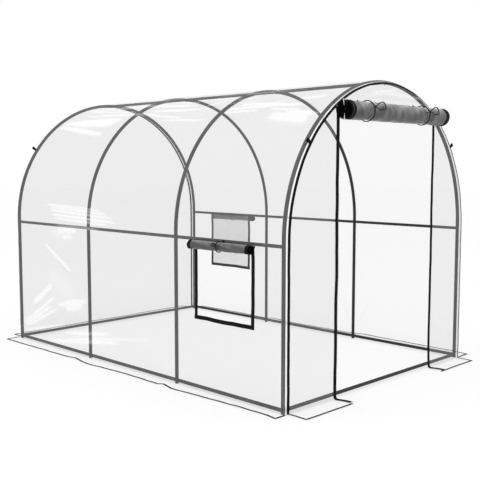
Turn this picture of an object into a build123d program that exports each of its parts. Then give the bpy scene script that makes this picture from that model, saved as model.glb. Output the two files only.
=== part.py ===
from build123d import *

import os
from math import cos, radians, sin, sqrt

# A walk-in polytunnel greenhouse: four steel hoops joined by rails carry a clear film cover with
# a roll-up door at the front and a roll-up window in each long wall. Millimetres, Z up. X is the
# width and Y the length, the door faces -Y, and the origin is on the ground at the tunnel's middle.

# Frame
FRAME_WIDTH = 2000.0  # over the hoops
FRAME_LENGTH = 3000.0  # over the end hoops
SPRING_HEIGHT = 1020.0  # where the straight legs end and the round arch begins
HOOP_COUNT = 4
FRONT_BAY = 958.0  # between the two hoops by the door; the hoops behind them are evenly spaced
HOOP_D = 25.0
RAIL_D = 22.0
BASE_RAIL_D = 24.0
SIDE_RAIL_DROP = 25.0  # spring line down to the side rails' centre
BASE_RAIL_GAP = 10.0  # ground to the underside of the base rails and bars
RAIL_FIT = 0.2  # between a rail's hollowed end and its hoop

# Film cover
FILM = 2.0
FILM_FIT = 0.3  # between the film and whatever it lies over
END_OVERHANG = 28.0  # the end panels hang this far beyond the end hoops
END_TURN = 18.5  # the cover turns in this far past the end hoops, to the end panels
SEAM_WIDTH = 16.0  # binding tape across the corner between the cover and an end panel
SKIRT_WIDTH = 115.0  # film that lies flat on the ground, for earth or stones to hold down

# Door, rolled up
DOOR_WIDTH = 1068.0
DOOR_ROLL_D = 128.0
DOOR_ROLL_SHIFT = -15.0  # the roll is wound a little to one side
DOOR_ROLL_DROP = 32.0  # roll's centre below the lower edge of the panel over the door
LEFT_TIE_INSET = 185.0  # door's left edge to its tie
RIGHT_TIE_INSET = 255.0
DOOR_BOW_LENGTH = 115.0
DOOR_BOW_HEIGHT = 60.0

# Windows, rolled up
WINDOW_WIDTH = 486.0
WINDOW_HEIGHT = 487.0
WINDOW_SHIFT = 6.0  # from the middle of its bay towards the middle of the tunnel
WINDOW_DROP = 10.0  # side rail's centre down to the window's top edge
WINDOW_ROLL_D = 66.0
WINDOW_ROLL_EXTRA = 4.0  # how far the roll spreads past the zip at each end
WINDOW_ROLL_DROP = 20.0  # roll's centre below the window's top edge
WINDOW_BOW_LENGTH = 40.0
WINDOW_BOW_HEIGHT = 20.0

# Zips, ties and webbing
ZIP_WIDTH = 22.0
ZIP_THICK = 6.0
TIE_D = 7.0
TIE_LINK_D = 6.0  # the cord from the ring to its tab is drawn a little tighter
TIE_TAB_WIDTH = 16.0
TIE_TAB_THICK = 3.0
TIE_TAB_GAP = 3.0  # opening's top edge up to the tab
TIE_TAB_LENGTH = 20.0
WINDOW_TAB_LENGTH = 10.0
TIE_ANGLE = 45.0  # where the cord leaves its ring round the roll
BOW_ANGLE = 22.0  # above the roll's front, where the bow is knotted
GUY_ANGLE = 36.0  # up the arch from the spring line
GUY_WIDTH = 20.0
GUY_REACH = 36.0  # beyond the cover
GUY_THICK = 3.0
CUT = 1.0  # how far a cutting shape passes the film

# Derived places
hoop_r = FRAME_WIDTH / 2 - HOOP_D / 2
end_hoop_y = FRAME_LENGTH / 2 - HOOP_D / 2
rear_bay = (2 * end_hoop_y - FRONT_BAY) / (HOOP_COUNT - 2)
hoop_ys = [end_hoop_y - i * rear_bay for i in range(HOOP_COUNT - 1)] + [-end_hoop_y]
side_rail_z = SPRING_HEIGHT - SIDE_RAIL_DROP
base_rail_z = BASE_RAIL_GAP + BASE_RAIL_D / 2
film_r_in = FRAME_WIDTH / 2 + FILM_FIT
film_r = film_r_in + FILM
end_y = FRAME_LENGTH / 2 + END_OVERHANG
seam_leg = SEAM_WIDTH / sqrt(2)
sheet_y = end_y - seam_leg
turned_r = film_r - END_TURN
panel_r = turned_r - seam_leg
door_half = DOOR_WIDTH / 2
door_top = SPRING_HEIGHT + sqrt(panel_r**2 - door_half**2)
zip_top = SPRING_HEIGHT + sqrt(panel_r**2 - (door_half + ZIP_WIDTH) ** 2)
door_roll_half = door_half + ZIP_WIDTH  # the door is rolled up with its own zip tapes
door_roll_z = door_top - DOOR_ROLL_DROP
door_roll_out = ZIP_THICK + FILM_FIT + DOOR_ROLL_D / 2  # panel's face to the roll's centre
window_roll_half = WINDOW_WIDTH / 2 + ZIP_WIDTH + WINDOW_ROLL_EXTRA
window_top = side_rail_z - WINDOW_DROP
window_bottom = window_top - WINDOW_HEIGHT
window_roll_z = window_top - WINDOW_ROLL_DROP
window_roll_out = FILM_FIT + TIE_D + FILM_FIT + WINDOW_ROLL_D / 2  # wall's face to the roll's centre
# the left window is in the front bay, and the right one in the back bay
window_ys = {-1: (hoop_ys[-1] + hoop_ys[-2]) / 2 + WINDOW_SHIFT, 1: (hoop_ys[0] + hoop_ys[1]) / 2 - WINDOW_SHIFT}
SIDES = {"left": -1, "right": 1}
ENDS = {"front": -1, "back": 1}


def block(x, y, z):
    """A box between two limits on each axis."""
    x0, x1, y0, y1, z0, z1 = min(x), max(x), min(y), max(y), min(z), max(z)
    return Solid.make_box(x1 - x0, y1 - y0, z1 - z0, Plane(origin=(x0, y0, z0)))


def bar(start, end, diameter):
    """A round bar from one point to another."""
    run = Vector(end) - Vector(start)
    return Solid.make_cylinder(diameter / 2, run.length, Plane(origin=start, z_dir=run))


def arch_axis(side, y=0.0):
    """The axis that turns a profile at the spring line up over the arch."""
    return Axis((0, y, SPRING_HEIGHT), (0, -side, 0))


def leg(side, y, diameter=HOOP_D):
    return bar((side * hoop_r, y, 0), (side * hoop_r, y, SPRING_HEIGHT), diameter)


def half_arch(side, y, diameter=HOOP_D):
    foot = Plane(origin=(side * hoop_r, y, SPRING_HEIGHT)) * Circle(diameter / 2)
    return revolve(foot, arch_axis(side, y), 90)


def rail(x, z, diameter):
    """A rail along the tunnel, hollowed at its ends to fit round each hoop."""
    run = bar((x, hoop_ys[-1], z), (x, hoop_ys[0], z), diameter)
    bore = HOOP_D + 2 * RAIL_FIT
    for y in hoop_ys:
        for side in SIDES.values():
            run = run - leg(side, y, bore) - half_arch(side, y, bore)
    return run.solids()


def base_bar(y):
    """The bar across one end, cut square between its two legs."""
    half = hoop_r - HOOP_D / 2 - RAIL_FIT
    return bar((-half, y, base_rail_z), (half, y, base_rail_z), BASE_RAIL_D)


def turned_line(r, depth=0.0):
    """Points along the cover from the front end to the back, turned in past the end hoops."""
    over = FRAME_LENGTH / 2
    return [(r - END_TURN - depth, -sheet_y), (r - depth, -over), (r - depth, over), (r - END_TURN - depth, sheet_y)]


def cover_section(side, z):
    """The cover's film cut level at one side."""
    outline = turned_line(film_r) + turned_line(film_r, FILM)[::-1]
    return Face(Wire.make_polygon([(side * x, y, z) for x, y in outline], close=True))


def roof():
    return revolve(cover_section(1, SPRING_HEIGHT), arch_axis(1), 180)


def wall(side):
    """A long wall with its window cut out, standing on the skirt."""
    sheet = extrude(cover_section(side, FILM), amount=SPRING_HEIGHT - FILM, dir=(0, 0, 1))
    y0 = window_ys[side]
    hole = block(
        (side * (film_r_in - CUT), side * (film_r + CUT)),
        (y0 - WINDOW_WIDTH / 2, y0 + WINDOW_WIDTH / 2),
        (window_bottom, window_top),
    )
    return sheet - hole


def end_panel(end, x, z_low):
    """The end film between two x limits and above z_low, under the arch."""
    y = (end * (end_y - FILM), end * end_y)
    disc = Solid.make_cylinder(panel_r, FILM, Plane(origin=(0, min(y), SPRING_HEIGHT), z_dir=(0, 1, 0)))
    outline = disc + block((-panel_r, panel_r), y, (FILM, SPRING_HEIGHT))
    return outline & block(x, y, (z_low, SPRING_HEIGHT + film_r))


def seam(end):
    """The tape over the corner of one end, from the ground up over the arch and down again."""

    def section(side, z):
        corners = [
            (side * turned_r, end * sheet_y, z),
            (side * panel_r, end * end_y, z),
            (side * panel_r, end * (end_y - FILM), z),
            (side * (turned_r - FILM), end * sheet_y, z),
        ]
        return Face(Wire.make_polygon(corners, close=True))

    tape = revolve(section(1, SPRING_HEIGHT), arch_axis(1), 180)
    for side in SIDES.values():
        tape = tape + extrude(section(side, 0), amount=SPRING_HEIGHT, dir=(0, 0, 1))
    return tape


def guy_loop(side, end):
    """A flat webbing loop that stands out from the cover beside the seam."""
    out = Vector(side * cos(radians(GUY_ANGLE)), 0, sin(radians(GUY_ANGLE)))
    along = Vector(-side * sin(radians(GUY_ANGLE)), 0, cos(radians(GUY_ANGLE)))
    foot = Vector(0, end * (sheet_y - GUY_THICK / 2), SPRING_HEIGHT) + out * panel_r
    plane = Plane(origin=foot, x_dir=along, z_dir=out)
    length = film_r + GUY_REACH - panel_r
    strip = plane * Pos(0, 0, length / 2) * Box(GUY_WIDTH, GUY_THICK, length)
    line = turned_line(film_r)
    inside = [(0, line[0][1]), *line, (0, line[-1][1])]
    core = Face(Wire.make_polygon([(x, y, SPRING_HEIGHT) for x, y in inside], close=True))
    return strip - revolve(core, arch_axis(1), 180)


def door_zip(side):
    """A zip up one edge of the doorway, with its tail along the skirt."""
    x = (side * door_half, side * (door_half + ZIP_WIDTH))
    upright = block(x, (-end_y, -end_y - ZIP_THICK), (FILM, zip_top))
    tail = block(x, (-end_y, -end_y - SKIRT_WIDTH), (FILM, FILM + ZIP_THICK))
    return upright + tail


def window_zip(side):
    """The zip round the window's two sides and its bottom, on the wall's outer face."""
    x = (side * film_r, side * (film_r + ZIP_THICK))
    y0 = window_ys[side]
    outer = WINDOW_WIDTH / 2 + ZIP_WIDTH
    frame = block(x, (y0 - outer, y0 + outer), (window_bottom - ZIP_WIDTH, window_roll_z - WINDOW_ROLL_D / 2))
    hole = block(x, (y0 - WINDOW_WIDTH / 2, y0 + WINDOW_WIDTH / 2), (window_bottom, window_top))
    return frame - hole


def tie(inward, roll_d, face, tab_low, tab_length, bow):
    """A cord tied round a roll: its ring, the tab on the film above it and the bow in front.

    The roll's axis is at the origin and inward points at the film, whose face lies that far away.
    tab_low is how far the tab's lower end is above the axis, and bow is its length and height.
    """
    up = Vector(0, 0, 1)
    inward = Vector(inward)
    along = inward.cross(up)
    centre = Vector(0, 0, 0)
    ring_r = roll_d / 2 + FILM_FIT + TIE_D / 2

    def at(x, y):
        return inward * x + up * y

    ring = Solid.make_torus(ring_r, TIE_D / 2, Plane(origin=centre, x_dir=inward, z_dir=along))
    tab_plane = Plane(origin=at(face - TIE_TAB_THICK / 2, tab_low + tab_length / 2), x_dir=inward, z_dir=up)
    tab = tab_plane * Box(TIE_TAB_THICK, TIE_TAB_WIDTH, tab_length)
    leaving = at(ring_r * cos(radians(TIE_ANGLE)), ring_r * sin(radians(TIE_ANGLE)))
    link = bar(leaving, at(face - TIE_TAB_THICK, tab_low + TIE_D), TIE_LINK_D)

    knot_r = ring_r + TIE_D
    knot = at(-knot_r * cos(radians(BOW_ANGLE)), knot_r * sin(radians(BOW_ANGLE)))
    facing = knot.normalized()
    length, height = bow
    sideways = Vector(abs(along.X), abs(along.Y), 0)
    bow_plane = Plane(origin=knot + sideways * (length / 2), x_dir=-sideways, z_dir=facing)
    eye = Edge.make_ellipse(length / 2, height / 2, bow_plane)
    loop = sweep(Plane(origin=eye @ 0, z_dir=eye % 0) * Circle(TIE_D / 2), path=eye)
    knot_turned = Plane(origin=knot, x_dir=sideways, z_dir=facing)
    piece = loop + knot_turned * Sphere(TIE_D) + ring + link + tab
    return piece


def door_tie(side, inset):
    bow = (DOOR_BOW_LENGTH, DOOR_BOW_HEIGHT)
    low = DOOR_ROLL_DROP + TIE_TAB_GAP
    piece = tie((0, 1, 0), DOOR_ROLL_D, door_roll_out, low, TIE_TAB_LENGTH, bow)
    return Pos(side * (door_half - inset), -end_y - door_roll_out, door_roll_z) * piece


def window_tie(side):
    bow = (WINDOW_BOW_LENGTH, WINDOW_BOW_HEIGHT)
    low = WINDOW_ROLL_DROP + TIE_TAB_GAP
    piece = tie((-side, 0, 0), WINDOW_ROLL_D, window_roll_out, low, WINDOW_TAB_LENGTH, bow)
    return Pos(side * (film_r + window_roll_out), window_ys[side], window_roll_z) * piece


def save(name, *solids):
    whole = Compound([s for shape in solids for s in shape.solids()])
    export_step(whole if len(whole.solids()) > 1 else whole.solids()[0], f"parts/{name}.step")


def save_frame():
    for number, y in enumerate(hoop_ys, start=1):
        save(f"hoop_{number}_legs", leg(-1, y), leg(1, y))
        for name, side in SIDES.items():
            save(f"hoop_{number}_{name}_arch", half_arch(side, y))
    save("ridge_rail", *rail(0, SPRING_HEIGHT + hoop_r, RAIL_D))
    for name, side in SIDES.items():
        save(f"{name}_side_rail", *rail(side * hoop_r, side_rail_z, RAIL_D))
        save(f"{name}_base_rail", *rail(side * hoop_r, base_rail_z, BASE_RAIL_D))
    save("base_bars", *[base_bar(end * end_hoop_y) for end in ENDS.values()])


def save_cover():
    save("roof_film", roof())
    ground = (0, FILM)
    for name, side in SIDES.items():
        save(f"{name}_wall_film", wall(side))
        x = (side * film_r_in, side * (film_r + SKIRT_WIDTH))
        save(f"{name}_skirt", block(x, (-sheet_y, sheet_y), ground))
    back_y = (end_y - FILM, end_y + SKIRT_WIDTH)
    save("back_panel", end_panel(1, (-panel_r, panel_r), FILM))
    save("back_skirt", block((-panel_r, panel_r), back_y, ground))
    for name, side in SIDES.items():
        x = (side * door_half, side * panel_r)
        save(f"front_{name}_panel", end_panel(-1, x, FILM))
        save(f"front_{name}_skirt", block(x, (-back_y[0], -back_y[1]), ground))
    save("front_top_panel", end_panel(-1, (-door_half, door_half), door_top))
    for name, end in ENDS.items():
        save(f"{name}_seam", seam(end))
    save("guy_loops", *[guy_loop(side, end) for side in SIDES.values() for end in ENDS.values()])


def save_openings():
    y = -end_y - door_roll_out
    x0, x1 = DOOR_ROLL_SHIFT - door_roll_half, DOOR_ROLL_SHIFT + door_roll_half
    save("door_roll", bar((x0, y, door_roll_z), (x1, y, door_roll_z), DOOR_ROLL_D))
    save("left_door_tie", door_tie(-1, LEFT_TIE_INSET))
    save("right_door_tie", door_tie(1, RIGHT_TIE_INSET))
    for name, side in SIDES.items():
        save(f"{name}_door_zip", door_zip(side))
        x = side * (film_r + window_roll_out)
        y0, y1 = window_ys[side] - window_roll_half, window_ys[side] + window_roll_half
        save(f"{name}_window_roll", bar((x, y0, window_roll_z), (x, y1, window_roll_z), WINDOW_ROLL_D))
        save(f"{name}_window_zip", window_zip(side))
        save(f"{name}_window_tie", window_tie(side))
    hole_y = (window_ys[1] - WINDOW_WIDTH / 2, window_ys[1] + WINDOW_WIDTH / 2)
    save("right_window_screen", block((film_r_in, film_r), hole_y, (window_bottom, window_top)))


os.makedirs("parts", exist_ok=True)
save_frame()
save_cover()
save_openings()
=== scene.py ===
import math
import bpy
import numpy as np
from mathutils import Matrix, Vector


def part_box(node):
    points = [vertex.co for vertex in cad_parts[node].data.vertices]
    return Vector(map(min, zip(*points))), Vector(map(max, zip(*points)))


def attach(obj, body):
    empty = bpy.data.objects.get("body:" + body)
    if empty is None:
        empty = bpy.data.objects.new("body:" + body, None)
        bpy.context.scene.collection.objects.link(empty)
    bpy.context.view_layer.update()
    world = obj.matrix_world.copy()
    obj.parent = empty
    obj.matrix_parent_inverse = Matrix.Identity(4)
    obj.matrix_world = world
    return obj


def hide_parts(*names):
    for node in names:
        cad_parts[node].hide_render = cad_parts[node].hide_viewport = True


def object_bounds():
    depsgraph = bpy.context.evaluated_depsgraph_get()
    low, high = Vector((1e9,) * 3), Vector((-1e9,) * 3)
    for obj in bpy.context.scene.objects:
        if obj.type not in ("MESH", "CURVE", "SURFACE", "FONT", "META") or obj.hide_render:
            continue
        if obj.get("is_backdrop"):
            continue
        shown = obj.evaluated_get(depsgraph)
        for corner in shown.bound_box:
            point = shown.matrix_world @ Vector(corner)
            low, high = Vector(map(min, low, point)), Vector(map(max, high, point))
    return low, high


# A walk-in polytunnel: powder-coated steel hoops and rails under a clear polyethylene cover, with
# its door and windows rolled up and tied. Metres, Z up, the door faces -Y.
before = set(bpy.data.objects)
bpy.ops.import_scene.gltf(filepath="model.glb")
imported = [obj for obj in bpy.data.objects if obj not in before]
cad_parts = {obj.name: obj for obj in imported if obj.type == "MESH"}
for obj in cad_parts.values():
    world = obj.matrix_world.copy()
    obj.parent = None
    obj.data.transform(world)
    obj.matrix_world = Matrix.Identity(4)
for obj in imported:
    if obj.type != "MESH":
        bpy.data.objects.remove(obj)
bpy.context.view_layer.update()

# Sizes read from the solids. The film's surface is the middle of its solid's thickness.
HALF_FILM = 0.001
film_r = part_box("roof_film")[1].x - HALF_FILM
spring_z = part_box("roof_film")[0].z
sheet_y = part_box("roof_film")[1].y
end_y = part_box("back_panel")[1].y - HALF_FILM
panel_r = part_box("back_panel")[1].x
door_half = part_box("front_right_panel")[0].x
door_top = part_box("front_top_panel")[0].z
skirt_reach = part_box("right_skirt")[1].x - film_r
end_skirt_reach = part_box("back_skirt")[1].y - end_y
window_low, window_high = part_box("right_window_screen")
WINDOW_W, WINDOW_H = window_high.y - window_low.y, window_high.z - window_low.z
SIDES = {"left": -1, "right": 1}
ENDS = {"front": -1, "back": 1}
window_ys = {side: sum(corner.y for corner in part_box(f"{name}_window_zip")) / 2
             for name, side in SIDES.items()}
hoop_boxes = [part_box(f"hoop_{n}_legs") for n in (1, 2, 3, 4)]
hoop_ys = [(low.y + high.y) / 2 for low, high in hoop_boxes]  # from the back to the front
tube_r = (hoop_boxes[0][1].y - hoop_boxes[0][0].y) / 2
hoop_x = hoop_boxes[0][1].x - tube_r
turned_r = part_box("front_seam")[1].x - HALF_FILM  # where the cover turns in to the end panels
GROUND_LIFT = 0.002  # the skirts' film above the ground, at its lowest
SKIRT_CLEAR, RIGHT_CLEAR, BACK_CLEAR = 0.85, 0.52, 0.35  # haze that the film lacks in these places

# Camera, fitted to the photograph
CAMERA_TILT, CAMERA_TURN = 5.37431, 45.27164  # degrees down from level, and right from straight back
bpy.ops.object.camera_add(location=(-4.40298, -4.51314, 1.46434),
                          rotation=(math.radians(90 - CAMERA_TILT), 0, math.radians(-CAMERA_TURN)))
camera = bpy.context.object
camera.data.lens = 59.245
camera.data.sensor_width = 36
camera.data.clip_end = 200
bpy.context.scene.camera = camera


# Small helpers

def only(piece):
    """Selects this piece alone and makes it active."""
    bpy.ops.object.select_all(action="DESELECT")
    piece.select_set(True)
    bpy.context.view_layer.objects.active = piece


def modify(piece, kind, **settings):
    """Adds a modifier and applies it."""
    only(piece)
    made = piece.modifiers.new(kind.title(), kind)
    for name, value in settings.items():
        setattr(made, name, value)
    bpy.ops.object.modifier_apply(modifier=made.name)


def unit(vectors):
    return vectors / np.linalg.norm(vectors, axis=-1, keepdims=True)


def spread(knots, step):
    """Values from the first knot to the last, no more than a step apart, with each knot among them."""
    runs = [np.linspace(a, b, max(1, math.ceil((b - a) / step)), endpoint=False)
            for a, b in zip(knots, knots[1:])]
    return np.concatenate([*runs, knots[-1:]])


def wander(t, size, wave, seed):
    """A slow, even sway along a length, as soft tape has."""
    a, b, c = np.random.default_rng(seed).uniform(0, 2 * math.pi, 3)
    turn = 2 * math.pi * t / wave
    return size * (np.sin(turn + a) + 0.6 * np.sin(1.9 * turn + b) + 0.35 * np.sin(3.7 * turn + c)) / 1.95


def smooth_run(points, step):
    """A tape's line with its corners rounded off, as points an even step apart."""
    run = np.asarray(points, float)
    for _ in range(2):
        near, far = 0.75 * run[:-1] + 0.25 * run[1:], 0.25 * run[:-1] + 0.75 * run[1:]
        run = np.concatenate([run[:1], np.stack([near, far], 1).reshape(-1, 3), run[-1:]])
    length = np.concatenate([[0], np.cumsum(np.linalg.norm(np.diff(run, axis=0), axis=1))])
    even = np.linspace(0, length[-1], max(2, math.ceil(length[-1] / step)))
    return np.stack([np.interp(even, length, run[:, k]) for k in range(3)], 1)


def ridges(u, v, lines):
    """Height and shine that wrinkles give the points of a sheet; the shine is a painted highlight.

    Each line is one wrinkle: where it starts and ends on the flat sheet, its half width, its
    height and how bright the painted highlight along its crest is.
    """
    height, shine = np.zeros_like(u), np.zeros_like(u)
    for u0, v0, u1, v1, width, high, bright in lines:
        run = math.hypot(u1 - u0, v1 - v0)
        along = ((u - u0) * (u1 - u0) + (v - v0) * (v1 - v0)) / run**2
        off = ((u - u0) * (v1 - v0) - (v - v0) * (u1 - u0)) / run
        taper = np.clip(4 * along * (1 - along), 0, 1) ** 0.6
        height += high * taper * np.exp(-((off / width) ** 2))
        shine += bright * taper * np.exp(-((off / (0.8 * width)) ** 2))
    return height, np.clip(shine, 0, 1)


def grid_sheet(name, across, along, place):
    """A flat grid of cloth, moved into its hung shape by place.

    place takes the grid's values and gives each point, its place on the flat cloth, and its shine, the
    painted highlight that the film's material reads.
    """
    bpy.ops.object.select_all(action="DESELECT")
    bpy.ops.mesh.primitive_grid_add(x_subdivisions=len(across) - 1, y_subdivisions=len(along) - 1, size=2)
    piece = bpy.context.object
    piece.name = name
    u, v = (grid.ravel() for grid in np.meshgrid(across, along))
    points, flat, shine = place(u, v)
    mesh = piece.data
    mesh.vertices.foreach_set("co", points.astype(np.float32).ravel())
    mesh.attributes.new("shine", "FLOAT", "POINT").data.foreach_set("value", shine.astype(np.float32))
    corners = np.empty(len(mesh.loops), np.int32)
    mesh.loops.foreach_get("vertex_index", corners)
    mesh.uv_layers[0].name = "cloth"
    mesh.uv_layers["cloth"].data.foreach_set("uv", flat[corners].astype(np.float32).ravel())
    mesh.update()
    bpy.ops.object.shade_smooth()
    return piece


def ribbon(name, path, facing, width, crown, thick, columns=6):
    """A strip of tape along a path, its face towards facing and crowned in the middle."""
    path = np.asarray(path, float)
    run = unit(np.gradient(path, axis=0))
    sideways = unit(np.cross(run, np.broadcast_to(facing, path.shape)))
    facing = np.cross(sideways, run)
    length = np.concatenate([[0], np.cumsum(np.linalg.norm(np.diff(path, axis=0), axis=1))])

    def place(u, row):
        row = np.rint(row).astype(int)
        points = path[row] + sideways[row] * (u * width)[:, None]
        points += facing[row] * (crown * (1 - 4 * u * u))[:, None]
        return points, np.stack([u * width, length[row]], 1), np.zeros_like(u)

    piece = grid_sheet(name, np.linspace(-0.5, 0.5, columns + 1), np.arange(len(path)), place)
    modify(piece, "SOLIDIFY", thickness=thick, offset=0)
    merge_points(piece, outwards=True)
    return piece


def merge_points(piece, outwards=False):
    """Merges points that have come together, and may turn the faces outwards."""
    only(piece)
    bpy.ops.object.mode_set(mode="EDIT")
    bpy.ops.mesh.select_all(action="SELECT")
    bpy.ops.mesh.remove_doubles(threshold=1e-5)
    if outwards:
        bpy.ops.mesh.normals_make_consistent(inside=False)
    bpy.ops.object.mode_set(mode="OBJECT")


def shift_points(piece, shift):
    """Moves each point of a piece by what shift gives for the points' places."""
    points = np.empty(len(piece.data.vertices) * 3, np.float32)
    piece.data.vertices.foreach_get("co", points)
    points = points.reshape(-1, 3).astype(float)
    points += shift(points)
    piece.data.vertices.foreach_set("co", points.astype(np.float32).ravel())
    piece.data.update()


def edit_faces(piece, chosen):
    """Opens edit mode with the faces selected whose centre and normal pass chosen."""
    only(piece)
    bpy.context.tool_settings.mesh_select_mode = (False, False, True)
    bpy.ops.object.mode_set(mode="EDIT")
    bpy.ops.mesh.select_all(action="DESELECT")
    bpy.ops.object.mode_set(mode="OBJECT")
    for face in piece.data.polygons:
        face.select = bool(chosen(face.center, face.normal))
    bpy.ops.object.mode_set(mode="EDIT")


def join(name, pieces):
    only(pieces[0])
    for piece in pieces:
        piece.select_set(True)
    bpy.ops.object.join()
    joined = bpy.context.object
    joined.name = name
    return joined


def copy_of(piece):
    """A copy with its own mesh."""
    only(piece)
    bpy.ops.object.duplicate(linked=False)
    return bpy.context.object


def settle(piece, material, slot, *stands_for):
    """Applies the piece's place, gives it its material, and rides it on the frame. slot is not used."""
    only(piece)
    bpy.ops.object.transform_apply(location=True, rotation=True, scale=True)
    piece.data.name = piece.name
    piece.data.materials.clear()
    piece.data.materials.append(material)
    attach(piece, "root")
    if stands_for:
        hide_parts(*stands_for)
    return piece


# Materials

# the output that a node of each of these kinds gives; the others give their first
OUTPUTS = {"TexCoord": "Object", "TexNoise": "Fac", "TexWave": "Fac", "Attribute": "Fac", "MixRGBA": 2}


def srgb(code):
    """An sRGB hex colour as the linear one that a socket takes."""
    parts = [int(code[i : i + 2], 16) / 255 for i in (1, 3, 5)]
    return (*(c / 12.92 if c <= 0.04045 else ((c + 0.055) / 1.055) ** 2.4 for c in parts), 1)


def plug(made, node, inputs):
    """Sets a node's inputs, each to a value or to another node's output."""
    for name, value in inputs.items():
        if isinstance(value, bpy.types.NodeSocket):
            made.node_tree.links.new(value, node.inputs[name])
        else:
            node.inputs[name].default_value = value


def add(made, kind, inputs=None, ramp=None, **settings):
    """Adds a node to a material, with its settings, links and colour stops, and gives its output."""
    node = made.node_tree.nodes.new("ShaderNode" + kind)
    for name, value in settings.items():
        setattr(node, name, value)
    plug(made, node, inputs or {})
    if ramp:
        stops = node.color_ramp.elements
        while len(stops) < len(ramp):
            stops.new(0.5)
        for stop, (position, colour) in zip(stops, ramp):
            stop.position, stop.color = position, srgb(colour)
    return node.outputs[OUTPUTS.get(kind + settings.get("data_type", ""), 0)]


def new_material(name):
    made = bpy.data.materials.new(name)
    made.use_nodes = True
    return made


def coat(made, **inputs):
    """Sets the inputs of a material's shader."""
    shader = made.node_tree.nodes["Principled BSDF"]
    plug(made, shader, {name.replace("_", " "): value for name, value in inputs.items()})
    return made


def powder_coated_steel():
    """Dark grey polyester powder baked on steel tube: a low sheen with a fine orange peel, and a
    little pale dust that dulls it in patches."""
    made = new_material("powder_coated_steel")
    place = add(made, "TexCoord")
    dust = add(made, "TexNoise", {"Vector": place, "Scale": 9.0, "Detail": 4.0, "Roughness": 0.6})
    peel = add(made, "TexNoise", {"Vector": place, "Scale": 420.0, "Detail": 2.0})  # 2.4 mm cells
    colour = add(made, "ValToRGB", {"Fac": dust}, [(0.3, "#18181A"), (0.55, "#1E1E1F"), (0.8, "#29292A")])
    rough = add(made, "MapRange", {"Value": dust, "To Min": 0.36, "To Max": 0.58})
    bump = add(made, "Bump", {"Height": peel, "Strength": 0.25, "Distance": 0.0003})
    return coat(made, Base_Color=colour, Roughness=rough, Normal=bump, IOR=1.5, Specular_IOR_Level=0.35)


def polyethylene(name, haze, dull, cover, mottle, shine_tone, shine_alpha, glint_gain):
    """Low-density polyethylene film: clear with a grey haze, faint die lines along the roll that it
    was blown on, cloudy thickness, and painted light: where the shine attribute is high the film is
    painted in a pale tone that hides more, a painted highlight on the crests of wrinkles.

    haze and dull are the haze's tones, cover is the share that it hides of what lies behind, and
    mottle its spread. The last gain is how soon the painted highlight turns the film to shine_tone,
    which hides shine_alpha.
    """
    made = new_material(name)
    cloth = add(made, "UVMap", uv_map="cloth")
    clouds = add(made, "TexNoise", {"Vector": cloth, "Scale": 5.0, "Detail": 3.0, "Roughness": 0.55})
    # die lines are 3 mm apart and run the length of the cover
    drawn = add(made, "Mapping", {"Vector": cloth, "Scale": (330.0, 4.0, 1.0)})
    lines = add(made, "TexNoise", {"Vector": drawn, "Scale": 1.0, "Detail": 2.0})
    shine = add(made, "Attribute", attribute_name="shine")
    tone = add(made, "ValToRGB", {"Fac": clouds}, [(0.3, haze), (0.7, dull)])
    # painted highlight: where the shine attribute is high the tone turns to shine_tone, and below the film
    # hides up to shine_alpha
    painted_glint = add(made, "Math", {0: shine, 1: glint_gain}, operation="MULTIPLY", use_clamp=True)
    colour = add(made, "Mix", {0: painted_glint, 6: tone, 7: srgb(shine_tone)}, data_type="RGBA")
    body = add(made, "MapRange", {"Value": clouds, "From Min": 0.3, "From Max": 0.7,
                                  "To Min": cover - mottle, "To Max": cover + mottle})
    # a shine below 0 is film with less haze
    veil = add(made, "MapRange", {"Value": shine, "From Min": -1.0, "From Max": 0.0,
                                  "To Min": 0.15, "To Max": 1.0})
    hazed = add(made, "Math", {0: body, 1: veil}, operation="MULTIPLY")
    alpha = add(made, "Mix", {0: shine, 2: hazed, 3: shine_alpha}, data_type="FLOAT")
    rough = add(made, "MapRange", {"Value": lines, "To Min": 0.12, "To Max": 0.34})
    bump = add(made, "Bump", {"Height": lines, "Strength": 0.2, "Distance": 0.0004})
    return coat(made, Base_Color=colour, Alpha=alpha, Roughness=rough, Normal=bump, IOR=1.51)


def woven_tape(name, dark, light, rib):
    """Polyester tape, woven in ribs across its width: a soft, near-black cloth whose ribs catch a
    little light and whose picked threads are greyer."""
    made = new_material(name)
    cloth = add(made, "UVMap", uv_map="cloth")
    # real ribs are under 1 mm apart, drawn 1.5 mm apart or more so that they show
    pattern = {"Vector": cloth, "Scale": 0.5 / rib, "Distortion": 0.4}
    ribs = add(made, "TexWave", {**pattern, "Detail": 1.0}, bands_direction="Y")
    warp = add(made, "TexWave", pattern, bands_direction="X")
    weave = add(made, "Math", {0: ribs, 1: warp}, operation="MULTIPLY")
    wear = add(made, "TexNoise", {"Vector": cloth, "Scale": 60.0, "Detail": 4.0})
    mixed = add(made, "Math", {0: weave, 1: wear}, operation="MULTIPLY")
    colour = add(made, "ValToRGB", {"Fac": mixed}, [(0.05, dark), (0.6, light)])
    bump = add(made, "Bump", {"Height": weave, "Strength": 0.5, "Distance": 0.0006})
    return coat(made, Base_Color=colour, Normal=bump, Roughness=0.82, Specular_IOR_Level=0.15)


def braided_cord():
    """Black braided polyester cord: fine diagonal strands with a dull shine."""
    made = new_material("braided_polyester_cord")
    place = add(made, "TexCoord")
    strands = add(made, "TexWave", {"Vector": place, "Scale": 220.0, "Distortion": 1.5, "Detail": 1.0},
                  bands_direction="DIAGONAL")
    colour = add(made, "ValToRGB", {"Fac": strands}, [(0.2, "#09090A"), (0.9, "#1C1C1E")])
    bump = add(made, "Bump", {"Height": strands, "Strength": 0.4, "Distance": 0.0004})
    return coat(made, Base_Color=colour, Normal=bump, Roughness=0.6, Specular_IOR_Level=0.25)


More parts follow.
